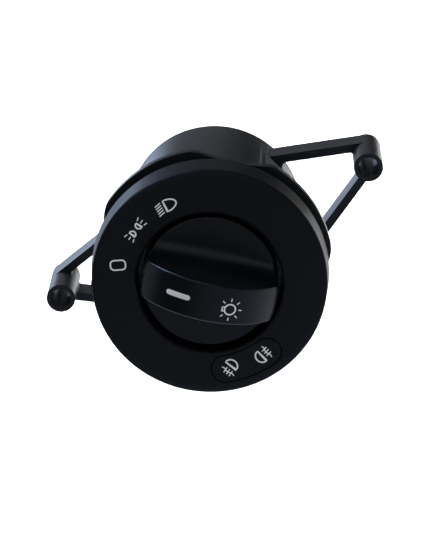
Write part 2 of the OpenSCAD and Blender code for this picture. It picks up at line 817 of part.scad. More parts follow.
module rotor() {
    groove_r = rotor_r - 2.6;
    rear_l = rotor_back - detent_back;
    profile = [[0, -rotor_front], [hub_r + 1, -rotor_front], [hub_r + 1, -detent_front],
        [rotor_r, -detent_front], [rotor_r, -detent_back], [groove_r, -detent_back - rear_l / 10],
        [groove_r, -rotor_back + rear_l / 2], [rotor_r, -rotor_back + rear_l / 2.4],
        [rotor_r, -rotor_back], [0, -rotor_back]];
    color(grey_plastic) on_knob() difference() {
        rotate_extrude() polygon(profile);
        slab(rotor_front - eps, rotor_back + eps) drive_bar(fit_gap / 2);
        for (turn = [0, 180]) {
            rotate(turn) translate([spring_start, 0, -ball_depth]) rotate([0, 90, 0])
                cylinder(r = spring_pocket_r, h = rotor_r, $fn = 48);
        }
    }
}

// Sprung copper bridges on the rotor's rear face, one over each track
module contact_bridges() {
    reach = 3.6;
    tip = plate_depth - copper_t - 0.25;
    leaf = 0.35;
    leaf_w = copper_w - 0.6;
    outline = [[-1.2, -rotor_back], [-1.2, -rotor_back - leaf], [-reach + 0.6, -tip],
        [-reach - 0.2, -tip], [-reach - 0.2, -tip + leaf], [-reach + 0.5, -tip + leaf],
        [-1.7, -rotor_back], [-1.2, -rotor_back]];
    color(copper) on_knob() for (i = [0:copper_tracks - 1]) {
        rotate(60 + 100 * i) translate([copper_r + i * copper_pitch + leaf_w / 2, 0, 0])
            rotate([90, 0, -90]) linear_extrude(leaf_w) {
                polygon(outline);
                mirror([1, 0]) polygon(outline);
                translate([-1.3, -rotor_back - leaf]) square([2.6, leaf]);
            }
    }
}

module contact_plate() {
    color(dark_plastic) face_on() difference() {
        slab(plate_depth, plate_back) circle(insert_r);
        slab(plate_depth - eps, plate_back + eps) circle(journal_r + run_gap);
        slab(plate_depth + 0.5, plate_back + eps) pin_rows(fit_gap);
        for (x = link_pin_places()) {
            slab(plate_depth - eps, plate_back + eps)
                translate([x, link_at]) circle(link_pin_r + fit_gap, $fn = 24);
        }
    }
}

module contact_tracks() {
    spans = [[20, 200], [90, 300], [-60, 130]];
    color(copper) face_on() slab(plate_depth - copper_t, plate_depth) for (i = [0:copper_tracks - 1]) {
        band_r = copper_r + i * copper_pitch;
        span = spans[i % 3];
        band(band_r - copper_w / 2, band_r + copper_w / 2, span[0], span[1]);
    }
}

module pin_rows(grow) {
    for (i = [0:pins_per_row - 1]) {
        for (side = [-1, 1]) {
            translate([(i - (pins_per_row - 1) / 2) * pin_pitch, side * row_pitch / 2])
                square([pin_w + 2 * grow, pin_t + 2 * grow], center = true);
        }
    }
}

module terminal_block() {
    color(dark_plastic) face_on() slab(plate_back + fit_gap, block_back) difference() {
        square([socket_w, socket_h], center = true);
        pin_rows(fit_gap);
        circle(journal_r + 0.4);
    }
}

module connector_pins() {
    color(copper) face_on() slab(plate_depth + 0.6, pin_end) pin_rows(0);
}

module rear_cover() {
    spigot_front = barrel_depth - spigot_l;
    plate_in = overall_depth - cover_t;
    hook_root = insert_r - 1;
    hook_tip = barrel_r - 0.9;
    outer_w = socket_w + 2 * socket_wall;
    outer_h = socket_h + 2 * socket_wall;
    color(dark_plastic) face_on() difference() {
        union() {
            slab(plate_in, overall_depth) circle(barrel_r - 0.2);
            slab(barrel_depth, overall_depth) difference() {
                circle(barrel_r - 0.2);
                circle(spigot_in);
            }
            slab(spigot_front, plate_in + 0.1) difference() {
                circle(insert_r);
                circle(spigot_in);
            }
            slab(socket_floor - floor_t, overall_depth) square([outer_w, outer_h], center = true);
            // Hooks that snap into the barrel's windows
            for (a = hook_angles) {
                rotate(a) rotate([90, 0, 0]) translate([0, 0, -hook_w / 2]) linear_extrude(hook_w)
                    polygon([[hook_root, 0.2 - hook_front], [insert_r, -hook_front - loose_gap],
                        [hook_tip, 1 - hook_back], [hook_tip, 0.3 - hook_back],
                        [hook_root, 0.3 - hook_back]]);
            }
            // Ribs between the socket and the spigot
            for (a = [35, 145, 215, 325]) {
                rotate(a) slab(spigot_front + 1, overall_depth - 1)
                    translate([socket_w / 2, -0.7]) square([insert_r - socket_w / 2 - 0.8, 1.4]);
            }
        }
        slab(socket_floor, overall_depth + eps) {
            square([socket_w, socket_h], center = true);
            // Keyways of the plug
            translate([-socket_w / 2 + 6, 0]) square([2, socket_h + 1.2], center = true);
            translate([socket_w / 2 - 9, 1]) square([3, socket_h], center = true);
        }
        slab(socket_floor - floor_t - eps, socket_floor + eps) pin_rows(fit_gap);
    }
}

module carrier_screws() {
    head_front = flange_depth + flange_t;
    color(steel) face_on() for (a = screw_angles) {
        rotate(a) translate([screw_at, 0, 0]) {
            slab(key_room_depth - 0.2, head_front + 0.1) circle(screw_r, $fn = 48);
            slab(head_front, head_front + screw_head_h) circle(screw_head_r, $fn = 48);
        }
    }
}

bezel();
light_guide();
fog_key();
key_mat();
knob();
pointer_window();
knob_light_guide();
knob_clip();
spindle();
spindle_clip();
carrier();
front_board();
leds();
link_pins();
housing();
detent_ring();
detent_balls();
detent_springs();
rotor();
contact_bridges();
contact_plate();
contact_tracks();
terminal_block();
connector_pins();
rear_cover();
carrier_screws();
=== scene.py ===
# The looks of a round rotary headlight switch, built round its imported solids.
# Sizes are in millimetres on the switch's own face: u to the right, v up, w towards the driver.
import math

import bmesh
import bpy
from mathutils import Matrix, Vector


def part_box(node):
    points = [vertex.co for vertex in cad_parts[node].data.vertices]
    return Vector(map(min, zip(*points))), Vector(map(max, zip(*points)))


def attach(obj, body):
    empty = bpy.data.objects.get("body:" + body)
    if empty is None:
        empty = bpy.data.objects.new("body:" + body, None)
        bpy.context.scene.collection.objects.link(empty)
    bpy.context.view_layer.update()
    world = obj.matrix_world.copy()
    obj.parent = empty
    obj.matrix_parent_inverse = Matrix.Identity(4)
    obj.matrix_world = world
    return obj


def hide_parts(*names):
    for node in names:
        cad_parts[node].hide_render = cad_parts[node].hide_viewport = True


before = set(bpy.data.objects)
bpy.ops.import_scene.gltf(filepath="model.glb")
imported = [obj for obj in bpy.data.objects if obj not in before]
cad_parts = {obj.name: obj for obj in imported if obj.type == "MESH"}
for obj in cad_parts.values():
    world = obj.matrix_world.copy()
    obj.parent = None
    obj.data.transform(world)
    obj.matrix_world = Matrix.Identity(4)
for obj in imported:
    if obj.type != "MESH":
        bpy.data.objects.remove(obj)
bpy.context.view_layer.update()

# Stage: the switch hangs by its ears as it does in a dash, over a pale studio floor.
# Two washes light the floor behind it to white, dim glows from behind give the drum its
# bluish sheen, and the front stays dark, so that the face keeps its deep black.
MM = 0.001
picture_pixels = 542
focal_pixels = 2500
shift_pixels = (7.07, 7.15)
camera_spot = (110.47, -702.41, 203.18)
camera_turn = (71.651, 24.400, 1.255)
camera_data = bpy.data.cameras.new("camera")
camera_data.sensor_width = 36
camera_data.lens = focal_pixels * camera_data.sensor_width / picture_pixels
camera_data.shift_x = -shift_pixels[0] / picture_pixels
camera_data.shift_y = -shift_pixels[1] / picture_pixels
camera_data.clip_start = 0.05
camera = bpy.data.objects.new("camera", camera_data)
camera.location = [value * MM for value in camera_spot]
camera.rotation_euler = [math.radians(value) for value in camera_turn]
bpy.context.scene.collection.objects.link(camera)
bpy.context.scene.camera = camera
bpy.context.scene.view_settings.view_transform = "Standard"


def linear(code):
    """Turns an sRGB hex colour into linear red, green, blue and alpha."""
    parts = [int(code[i:i + 2], 16) / 255 for i in (1, 3, 5)]
    return (*[p / 12.92 if p <= 0.04045 else ((p + 0.055) / 1.055) ** 2.4 for p in parts], 1)


def shade(colour, share):
    """A hex colour as linear values, made darker or lighter by a share."""
    return (*[value * share for value in linear(colour)[:3]], 1)


def add_node(tree, kind, settings=None, links=None):
    """Adds a node, sets its inputs or its own properties, and links its inputs to outputs."""
    node = tree.nodes.new(kind)
    for key, value in (settings or {}).items():
        if key in node.inputs:
            node.inputs[key].default_value = value
        else:
            setattr(node, key, value)
    for key, source in (links or {}).items():
        tree.links.new(source, node.inputs[key])
    return node


def new_material(name):
    """An empty node material and its tree."""
    material = bpy.data.materials.new(name)
    material.use_nodes = True
    material.node_tree.nodes.clear()
    return material, material.node_tree


def studio_floor(colour):
    """Painted plywood, rolled matt: mottling a third of a metre wide, and no gloss."""
    material, tree = new_material("rolled_matt_paint")
    place = add_node(tree, "ShaderNodeTexCoord").outputs["Object"]
    mottle = add_node(tree, "ShaderNodeTexNoise", {"Scale": 1 / (333 * MM), "Detail": 2.0},
                      {"Vector": place})
    tone = add_node(tree, "ShaderNodeValToRGB", {}, {"Fac": mottle.outputs[0]})
    tone.color_ramp.elements[0].color = shade(colour, 0.97)
    tone.color_ramp.elements[1].color = linear(colour)
    paint = add_node(tree, "ShaderNodeBsdfPrincipled", {"Roughness": 0.9, "Specular IOR Level": 0.1},
                     {"Base Color": tone.outputs["Color"]})
    add_node(tree, "ShaderNodeOutputMaterial", {}, {"Surface": paint.outputs[0]})
    return material


floor_reach = 6.0
floor_level = -0.16
floor_skin = bmesh.new()
bmesh.ops.create_grid(floor_skin, x_segments=4, y_segments=4, size=floor_reach)
for vert in floor_skin.verts:
    vert.co.z = floor_level
floor_mesh = bpy.data.meshes.new("floor")
floor_skin.to_mesh(floor_mesh)
floor_mesh.materials.append(studio_floor("#f4f4f2"))
floor = bpy.data.objects.new("floor", floor_mesh)
bpy.context.scene.collection.objects.link(floor)


def soft_light(name, spot, width, height, power, colour, aim=(0.0, 0.0, 0.0)):
    """A rectangular softbox at a spot, turned to the switch or another aim, in metres and watts."""
    data = bpy.data.lights.new(name, "AREA")
    data.shape = "RECTANGLE"
    data.size = width
    data.size_y = height
    data.energy = power
    data.color = linear(colour)[:3]
    light = bpy.data.objects.new(name, data)
    light.location = spot
    light.rotation_euler = (Vector(aim) - Vector(spot)).to_track_quat("-Z", "Y").to_euler()
    bpy.context.scene.collection.objects.link(light)


soft_light("floor_near", (0.0, 0.45, 0.55), 2.6, 0.5, 41, "#ffffff", aim=(0.0, 1.2, floor_level))
soft_light("floor_far", (0.0, 1.3, 0.9), 2.6, 0.5, 3, "#ffffff", aim=(0.0, 2.1, floor_level))
soft_light("back_glow", (0.05, 1.7, 0.95), 1.6, 0.7, 1.4, "#eef3ff")
soft_light("back_left", (-0.85, 1.5, 0.42), 0.9, 0.5, 6.4, "#cfe0ff")
soft_light("left_glow", (-1.3, 0.15, 0.55), 0.8, 0.8, 0.7, "#e4ecff")
soft_light("overhead", (-0.12, -0.03, 0.5), 0.24, 0.18, 1.8, "#b9d4ff")
soft_light("front_top", (0.05, -1.05, 0.75), 1.4, 1.5, 3.0, "#e8ecf4")

world = bpy.data.worlds.new("studio")
world.use_nodes = True
room = world.node_tree.nodes["Background"]
room.inputs["Color"].default_value = linear("#cfd6e2")
room.inputs["Strength"].default_value = 0.03
bpy.context.scene.world = world

# Housing: the barrel with its flange and two triangular screw ears is one moulding in
# glass-filled nylon. It comes out of the mould smooth and black, with slightly rounded edges.
housing_edge = 0.3
flow_width = 14.3
merge_reach = 2e-6


def moulded_plastic(name, colour, roughness, grain, relief, gloss=0.5, mottle=0.12):
    """Injection-moulded thermoplastic: an even tint, fine spark-eroded grain and soft flow marks.
    The grain's width and relief are in millimetres, a few times a real grain's, so that it shows."""
    material, tree = new_material(name)
    place = add_node(tree, "ShaderNodeTexCoord").outputs["Object"]
    fine = add_node(tree, "ShaderNodeTexNoise", {"Scale": 1 / (grain * MM), "Detail": 4.0, "Roughness": 0.6},
                    {"Vector": place})
    flow = add_node(tree, "ShaderNodeTexNoise", {"Scale": 1 / (flow_width * MM), "Detail": 3.0},
                    {"Vector": place})
    tint = add_node(tree, "ShaderNodeValToRGB", {}, {"Fac": flow.outputs[0]})
    tint.color_ramp.elements[0].position = 0.3
    tint.color_ramp.elements[0].color = shade(colour, 1 - mottle)
    tint.color_ramp.elements[1].position = 0.7
    tint.color_ramp.elements[1].color = shade(colour, 1 + mottle)
    dull = add_node(tree, "ShaderNodeMapRange",
                    {"From Min": 0.3, "From Max": 0.7,
                     "To Min": roughness - 0.04, "To Max": roughness + 0.05},
                    {"Value": flow.outputs[0]})
    bump = add_node(tree, "ShaderNodeBump", {"Strength": 0.5, "Distance": relief * MM},
                    {"Height": fine.outputs[0]})
    body = add_node(tree, "ShaderNodeBsdfPrincipled", {"IOR": 1.5, "Specular IOR Level": gloss},
                    {"Base Color": tint.outputs["Color"], "Roughness": dull.outputs[0],
                     "Normal": bump.outputs[0]})
    add_node(tree, "ShaderNodeOutputMaterial", {}, {"Surface": body.outputs[0]})
    return material


def finished(name, skin, body, material, nodes=(), crease=40):
    """Turns a bmesh into a smooth-shaded piece that rides on a body and stands for its nodes.
    Edges sharper than the crease, in degrees, stay sharp."""
    bmesh.ops.remove_doubles(skin, verts=skin.verts, dist=merge_reach)
    mesh = bpy.data.meshes.new(name)
    skin.to_mesh(mesh)
    skin.free()
    mesh.shade_smooth()
    mesh.set_sharp_from_angle(angle=math.radians(crease))
    mesh.materials.append(material)
    piece = bpy.data.objects.new(name, mesh)
    bpy.context.scene.collection.objects.link(piece)
    even = piece.modifiers.new("even", "WEIGHTED_NORMAL")
    even.keep_sharp = True
    even.weight = 80
    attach(piece, body)
    if nodes:
        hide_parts(*nodes)
    return piece


def plain_skin(worked):
    """The skin of an object with its modifiers made plain. The object itself goes."""
    shape = worked.evaluated_get(bpy.context.evaluated_depsgraph_get())
    mesh = bpy.data.meshes.new_from_object(shape)
    bpy.data.objects.remove(worked)
    skin = bmesh.new()
    skin.from_mesh(mesh)
    bpy.data.meshes.remove(mesh)
    return skin


def raw_object(name, skin):
    """Hands a bmesh to a new object that modifiers can work on."""
    mesh = bpy.data.meshes.new(name)
    skin.to_mesh(mesh)
    skin.free()
    raw = bpy.data.objects.new(name, mesh)
    bpy.context.scene.collection.objects.link(raw)
    return raw


def rounded_copy(node, edge, sharper_than=30):
    """A copy of a CAD node as one merged skin, its sharp edges rounded as the mould leaves them."""
    skin = bmesh.new()
    skin.from_mesh(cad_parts[node].data)
    bmesh.ops.remove_doubles(skin, verts=skin.verts, dist=merge_reach)
    bmesh.ops.dissolve_limit(skin, angle_limit=math.radians(0.5), verts=skin.verts, edges=skin.edges)
    copy = raw_object(node + "_skin", skin)
    bevel = copy.modifiers.new("edges", "BEVEL")
    bevel.width = edge * MM
    bevel.segments = 2
    bevel.limit_method = "ANGLE"
    bevel.angle_limit = math.radians(sharper_than)
    return plain_skin(copy)


housing_plastic = moulded_plastic("glass_filled_nylon", "#131416", roughness=0.42, grain=0.5, relief=0.010)
finished("barrel_housing", rounded_copy("housing", housing_edge), "housing",
         housing_plastic, ["housing"])

# Bezel: a round cover in grained ABS, snapped over the carrier's rim. Its flat face ends in
# a shallow bevel, and a collar runs back behind the knob's hole.
front_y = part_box("bezel")[0].y
bezel_edge = 0.18
face_plastic = moulded_plastic("grained_black_abs", "#0e0f11", roughness=0.5, grain=0.35, relief=0.012,
                               gloss=0.28)
finished("face_bezel", rounded_copy("bezel", bezel_edge, 25), "housing",
         face_plastic, ["bezel"])

# Fog-lamp key: a small curved rocker in the same ABS as the bezel, clipped on its pivot pin.
# Its edges are crisp, so that the gap round it hardly shows, and its skirt dips into the carrier.
key_edge = 0.12
key_plastic = moulded_plastic("rocker_black_abs", "#101213", roughness=0.46, grain=0.35, relief=0.010,
                              gloss=0.3)
finished("fog_rocker", rounded_copy("fog_key", key_edge, 25), "fog_key",
         key_plastic, ["fog_key"])

# Knob: a base disc with a crowned grip across it, moulded in one with hollowed sides and
# pushed on the spindle. It is satin black ABS, with every edge rounded.
knob_low, knob_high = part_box("knob")
knob_r = 19.05
knob_back = (knob_high.y - front_y) / MM
knob_rest = 144
disc_level = -1.7
grip_height = (front_y - knob_low.y) / MM
grip_half = 5.65
crown_r = 22.4
grip_edge = 0.75
grip_bow = 0.07
scoop_r = 4.6
scoop_end = 0.98
rim_edge = 0.7
skirt_wall = 1.65
hollow_level = -3.3


def on_face(u, v, w):
    """A point given in millimetres on the face, in the part's frame."""
    return Vector((u * MM, front_y - w * MM, v * MM))


def on_knob(s, t, w):
    """A point of the knob: s along the grip to its pointer end, t across it, w off the face."""
    turn = math.radians(knob_rest)
    return on_face(s * math.cos(turn) - t * math.sin(turn), s * math.sin(turn) + t * math.cos(turn), w)


def crown(s):
    """Height of the grip's crown at a distance along it."""
    return grip_height - crown_r + math.sqrt(crown_r ** 2 - s ** 2)


def grip_section():
    """Half of the knob's section from its middle outwards: the kind of place, the distance
    across, and a drop below the crown, a share of the wall, or a height off the face."""
    steps = 8
    section = [("crown", (grip_half - grip_edge) * i / steps, 0) for i in range(steps + 1)]
    for i in range(1, steps + 1):
        a = math.radians(90 * i / steps)
        across = grip_half - grip_edge * (1 - math.sin(a))
        section.append(("crown", across, grip_edge * (1 - math.cos(a))))
    for i in range(1, steps):
        section.append(("wall", grip_half, i / steps))
    for i in range(2 * steps + 1):
        b = math.radians(90 * i / (2 * steps))
        across = grip_half + scoop_r * (1 - math.cos(b))
        section.append(("scoop", across, disc_level + scoop_r * (1 - math.sin(b))))
    outer = knob_r - rim_edge
    start = grip_half + scoop_r
    for i in range(1, steps + 1):
        across = start + (outer - start) * math.sin(math.radians(90 * i / steps))
        section.append(("level", across, disc_level))
    return section


def knob_height(kind, value, s):
    """Height of the knob's surface at one place of its section."""
    if kind == "crown":
        return crown(s) - value
    if kind == "wall":
        top = crown(s) - grip_edge
        return top + (disc_level + scoop_r - top) * value
    return value


def knob_row(share, radius):
    """One row of points across the knob, bent like its rim: share runs from -1 to 1 along it."""
    half = grip_section()
    both = [(kind, -t, value) for kind, t, value in reversed(half[1:])] + half
    row = []
    for kind, t, value in both:
        along = share * math.sqrt(max(radius ** 2 - t ** 2, 0))
        if kind != "level":
            t *= 1 - grip_bow * (along / knob_r) ** 2
        s = share * math.sqrt(max(radius ** 2 - t ** 2, 0))
        row.append((s, t, knob_height(kind, value, s)))
    return row


def knob_rim():
    """The knob's outline at the start of its rim rounding, and the sharp corner it would have."""
    inner = knob_r - rim_edge
    start, corner = [], []
    for share in (1, -1):
        near = knob_row(share, inner)[::-share]
        far = knob_row(share, knob_r)[::-share]
        for (s, t, w), (s_far, t_far, w_far) in zip(near, far):
            if abs(t) > grip_half + scoop_r * scoop_end:
                s_far, t_far = s * knob_r / inner, t * knob_r / inner
                w_far = w
            start.append((s, t, w))
            corner.append((s_far, t_far, w_far))
    return start, corner


def knob_edge_rows():
    """Rows that round the knob's rim and run on down its skirt."""
    start, corner = knob_rim()
    turns = [math.atan2(-t, s) for s, t, w in corner]
    count = len(corner)
    flat = []
    lap = 0
    for i, turn in enumerate(turns):
        if i and turn + lap < flat[-1][0] / knob_r - math.pi:
            lap += 2 * math.pi
        flat.append(((turn + lap) * knob_r, corner[i][2]))
    whole = 2 * math.pi * knob_r
    ends = []
    for i in range(count):
        a0, w0 = flat[i - 1] if i else (flat[-1][0] - whole, flat[-1][1])
        a1, w1 = flat[i + 1] if i + 1 < count else (flat[0][0] + whole, flat[0][1])
        length = math.hypot(a1 - a0, w1 - w0) or 1
        a = (flat[i][0] + rim_edge * (w1 - w0) / length) / knob_r
        w = flat[i][1] - rim_edge * (a1 - a0) / length
        ends.append((knob_r * math.cos(a), -knob_r * math.sin(a), w))
    rows = []
    for k in (0.2, 0.4, 0.6, 0.8, 1.0):
        rows.append([tuple((1 - k) ** 2 * p + 2 * k * (1 - k) * c + k ** 2 * e for p, c, e in zip(*trio))
                     for trio in zip(start, corner, ends)])
    turns = [math.atan2(t, s) for s, t, w in ends]
    inner = knob_r - skirt_wall
    for radius, w in ((knob_r, -knob_back), (inner, -knob_back), (inner, hollow_level), (0, hollow_level)):
        rows.append([(radius * math.cos(turn), radius * math.sin(turn), w) for turn in turns])
    return [start] + rows


def join_rows(skin, rows, place, closed):
    """Adds rows of points as a skin of four-sided faces, closed round each row if asked."""
    grid = [[skin.verts.new(place(*point)) for point in row] for row in rows]
    for near, far in zip(grid, grid[1:]):
        last = len(near) if closed else len(near) - 1
        for i in range(last):
            k = (i + 1) % len(near)
            skin.faces.new((near[i], near[k], far[k], far[i]))
    return grid


def pointing_out(skin):
    """Merges the seams and poles of a skin and turns all its faces outwards."""
    bmesh.ops.remove_doubles(skin, verts=skin.verts, dist=merge_reach)
    bmesh.ops.dissolve_degenerate(skin, edges=skin.edges, dist=merge_reach / 2)
    bmesh.ops.recalc_face_normals(skin, faces=skin.faces)


knob_skin = bmesh.new()
row_count = 56
shares = [math.sin(math.radians(90 * (2 * i / row_count - 1))) for i in range(row_count + 1)]
join_rows(knob_skin, [knob_row(share, knob_r - rim_edge) for share in shares], on_knob, closed=False)
join_rows(knob_skin, knob_edge_rows(), on_knob, closed=True)
pointing_out(knob_skin)
knob_plastic = moulded_plastic("satin_black_abs", "#0d0e10", roughness=0.3, grain=0.3, relief=0.006,
                               gloss=0.4)
finished("crowned_knob", knob_skin, "knob", knob_plastic, ["knob"], crease=60)

# Pointer: a white translucent insert, welded into the crown from inside and polished flush.
# At night the light guide behind it makes it glow; here its lamps are off, and a faint painted glow,
# emission in its own colour, makes it brighter.
pointer_length = 6.7
pointer_width = 1.5
pointer_middle = 8.35
pointer_depth = 1.2
pointer_steps = 32
insert_edge = 0.08
print_lift = 0.04
cloud_width = 1.11


def white_insert(name, colour, painted_glow):
    """Milky white plastic or ink: smooth, a little translucent, with a faint painted glow: emission in its
    own colour that brightens it though no lamp behind it is lit.
    """
    material, tree = new_material(name)
    place = add_node(tree, "ShaderNodeTexCoord").outputs["Object"]
    cloud = add_node(tree, "ShaderNodeTexNoise", {"Scale": 1 / (cloud_width * MM), "Detail": 3.0},
                     {"Vector": place})
    tint = add_node(tree, "ShaderNodeValToRGB", {}, {"Fac": cloud.outputs[0]})
    tint.color_ramp.elements[0].color = shade(colour, 0.9)
    tint.color_ramp.elements[1].color = linear(colour)
    bump = add_node(tree, "ShaderNodeBump", {"Strength": 0.2, "Distance": 0.01 * MM},
                    {"Height": cloud.outputs[0]})
    body = add_node(tree, "ShaderNodeBsdfPrincipled",
                    {"Roughness": 0.35, "IOR": 1.58, "Subsurface Weight": 0.2, "Subsurface Scale": 0.6 * MM,
                     "Emission Strength": painted_glow, "Emission Color": linear(colour)},
                    {"Base Color": tint.outputs["Color"], "Normal": bump.outputs[0]})
    add_node(tree, "ShaderNodeOutputMaterial", {}, {"Surface": body.outputs[0]})
    return material


pointer_skin = bmesh.new()
end_r = pointer_width / 2
pointer_rows = []
for i in range(pointer_steps + 1):
    along = -math.cos(math.pi * i / pointer_steps) * pointer_length / 2
    past = max(abs(along) - (pointer_length / 2 - end_r), 0)
    half = math.sqrt(max(end_r ** 2 - past ** 2, 0))
    rim = min(insert_edge, half)
    s = pointer_middle + along
    pointer_rows.append([(s, t, crown(s) + w) for t, w in (
        (-half, -pointer_depth), (-half, 0), (-half + rim, print_lift), (0, print_lift),
        (half - rim, print_lift), (half, 0), (half, -pointer_depth), (0, -pointer_depth))])
join_rows(pointer_skin, pointer_rows, on_knob, closed=True)
pointing_out(pointer_skin)
finished("pointer_insert", pointer_skin, "knob",
         white_insert("milky_polycarbonate", "#cbc9c5", painted_glow=0.32), ["pointer_window"], crease=60)

# Symbols: thin white pad print on the bezel, the rocker and the knob's crown. Each is drawn
# in its own frame from strokes, and placed round the switch or along the knob's grip.
outline_width = 0.42
ray_width = 0.3
sharpest_corner = 0.6


def arc_points(x, y, r, start, stop, steps=12):
    """Points along an arc, from one angle to another."""
    turns = [math.radians(start + (stop - start) * i / steps) for i in range(steps + 1)]
    return [(x + r * math.cos(a), y + r * math.sin(a)) for a in turns]


def lamp_outline(half, depth):
    """A half-round lamp: its flat on the y axis and its round side towards +x."""
    side = [(depth * math.sin(math.radians(a)), half * math.cos(math.radians(a))) for a in range(0, 181, 12)]
    return [(0, half)] + side[1:-1] + [(0, -half)]


def wave(x, top, bottom, swing):
    """A wavy line that crosses the beams, from top to bottom."""
    steps, waves = 24, 1.5
    points = []
    for share in [i / steps for i in range(steps + 1)]:
        points.append((x + swing * math.sin(2 * math.pi * waves * share), top + (bottom - top) * share))
    return points


def off_symbol():
    """A plain nought, drawn as a rounded oblong."""
    x, y, corner = 1.05, 0.35, 1.05
    loop = []
    for cx, cy, start in ((x, y, 0), (-x, y, 90), (-x, -y, 180), (x, -y, 270)):
        loop += arc_points(cx, cy, corner, start, start + 90, 6)
    return [(loop, True, outline_width)]


def parking_symbol():
    """Two small lamps back to back, with three rays each."""
    strokes = []
    for side in (1, -1):
        flat = 1.72 * side
        lamp = [(flat - side * x, y) for x, y in lamp_outline(0.98, 1.1)]
        strokes.append((lamp, True, outline_width))
        for rise in (-1, 0, 1):
            ray = [(flat + side * 0.72, rise * 1.12), (flat + side * 1.76, rise * 1.42)]
            strokes.append((ray, False, ray_width))
    return strokes


def dipped_symbol():
    """A headlamp with five beams that slope down."""
    strokes = [(lamp_outline(1.7, 3.3), True, outline_width)]
    for i in range(5):
        y = 1.46 - 0.73 * i
        strokes.append(([(-0.85, y), (-2.7, y - 0.55)], False, ray_width))
    return strokes


def fog_symbol(side, rise, slope):
    """A fog lamp: three beams that a wavy line crosses. Side says which way the beams point,
    rise how far they sit above the lamp's middle, and slope how far they climb on the way."""
    strokes = [([(-side * x, y) for x, y in lamp_outline(1.93, 1.85)], True, outline_width)]
    for i in range(3):
        y = 0.94 * (1 - i) + rise
        strokes.append(([(side * 0.95, y), (side * 2.75, y + slope)], False, ray_width))
    strokes.append((wave(side * 1.8, 2.15 + rise, -2.15 + rise, 0.2), False, ray_width))
    return strokes


def bulb_symbol():
    """A round bulb with its cap and seven rays."""
    strokes = [(arc_points(0, 0, 1.5, 0, 345, 23), True, outline_width)]
    strokes.append(([(1.45, 0.62), (2.15, 0.62), (2.15, -0.62), (1.45, -0.62)], False, ray_width))
    for i in range(1, 8):
        a = math.radians(45 * i)
        strokes.append(([(r * math.cos(a), r * math.sin(a)) for r in (2.35, 3.25)], False, ray_width))
    return strokes


def add_stroke(skin, points, closed, width, place):
    """Adds one stroke of print: a flat ribbon with its own thin body, along the points."""
    count = len(points)
    rails = ([], [])
    for i, (x, y) in enumerate(points):
        before = points[i - 1] if closed or i else points[0]
        after = points[(i + 1) % count] if closed or i + 1 < count else points[-1]
        dx, dy = after[0] - before[0], after[1] - before[1]
        length = math.hypot(dx, dy)
        nx, ny = -dy / length, dx / length
        reach = width / 2
        if closed or 0 < i < count - 1:
            lx, ly = x - before[0], y - before[1]
            cosine = abs(lx * ny - ly * nx) / max(math.hypot(lx, ly), 1e-9)
            reach /= max(cosine, sharpest_corner)
        rails[0].append((x + nx * reach, y + ny * reach))
        rails[1].append((x - nx * reach, y - ny * reach))
    corners = []
    for (ax, ay), (bx, by) in zip(*rails):
        corners.append([place(ax, ay, print_lift), place(bx, by, print_lift),
                        place(bx, by, -print_lift), place(ax, ay, -print_lift)])
    rings = [[skin.verts.new(corner) for corner in ring] for ring in corners]
    for i in range(count if closed else count - 1):
        near, far = rings[i], rings[(i + 1) % count]
        for k in range(4):
            skin.faces.new((near[k], near[(k + 1) % 4], far[(k + 1) % 4], far[k]))
    if not closed:
        skin.faces.new(rings[0])
        skin.faces.new(rings[-1][::-1])


def printed(name, strokes, place, body, material):
    """One symbol as a piece of its own."""
    skin = bmesh.new()
    for points, closed, width in strokes:
        add_stroke(skin, points, closed, width, place)
    bmesh.ops.recalc_face_normals(skin, faces=skin.faces)
    return finished(name, skin, body, material)


def face_spot(radius, angle, turn):
    """A placing function for a symbol on the flat face, by its distance, angle and turn."""
    a, b = math.radians(angle), math.radians(turn)

    def place(x, y, w):
        u = radius * math.cos(a) + x * math.cos(b) - y * math.sin(b)
        v = radius * math.sin(a) + x * math.sin(b) + y * math.cos(b)
        return on_face(u, v, w)

    return place


def crown_spot(s, t):
    """A placing function for a symbol on the knob's crown."""
    return lambda x, y, w: on_knob(s + x, t + y, crown(s + x) + w)


# The print has a faint painted glow, emission in its own colour that makes it brighter though no lamp behind
# it is lit.
pad_print = white_insert("white_pad_print", "#dcdad7", painted_glow=0.36)
printed("off_mark", off_symbol(), face_spot(26.0, 144.0, -19.4), "housing", pad_print)
printed("parking_mark", parking_symbol(), face_spot(25.7, 118.3, 31.1), "housing", pad_print)
printed("dipped_mark", dipped_symbol(), face_spot(25.6, 94.1, 1.8), "housing", pad_print)
printed("front_fog_mark", fog_symbol(-1, -0.37, -0.19), face_spot(25.3, -100.7, 27.3), "fog_key", pad_print)
printed("rear_fog_mark", fog_symbol(1, 0.08, 0.15), face_spot(26.1, -79.9, 18.7), "fog_key", pad_print)
printed("bulb_mark", bulb_symbol(), crown_spot(-6.3, 1.0), "knob", pad_print)

# Carrier: the plate behind the bezel that holds the front board, with the bearing sleeve of
# the spindle. It is moulded in plain dark nylon, like the contact plate, block and rear cover.
carrier_edge = 0.2
inner_plastic = moulded_plastic("plain_dark_nylon", "#17191c", roughness=0.5, grain=0.6, relief=0.012,
                                gloss=0.45)
finished("front_carrier", rounded_copy("carrier", carrier_edge), "housing",
         inner_plastic, ["carrier"])
finished("back_cover", rounded_copy("rear_cover", carrier_edge), "housing",
         inner_plastic, ["rear_cover"])


def dressed(names, material):
    """Gives CAD nodes that already have the right shape their finish."""
    for name in names:
        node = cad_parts[name]
        node.data.materials.clear()
        node.data.materials.append(material)


dressed(["contact_plate", "terminal_block"], inner_plastic)

# Light guides: two clear mouldings that carry the lamps' light to the symbols and the pointer.
# They are polished polycarbonate, with a slight blue cast.
haze_width = 4.0


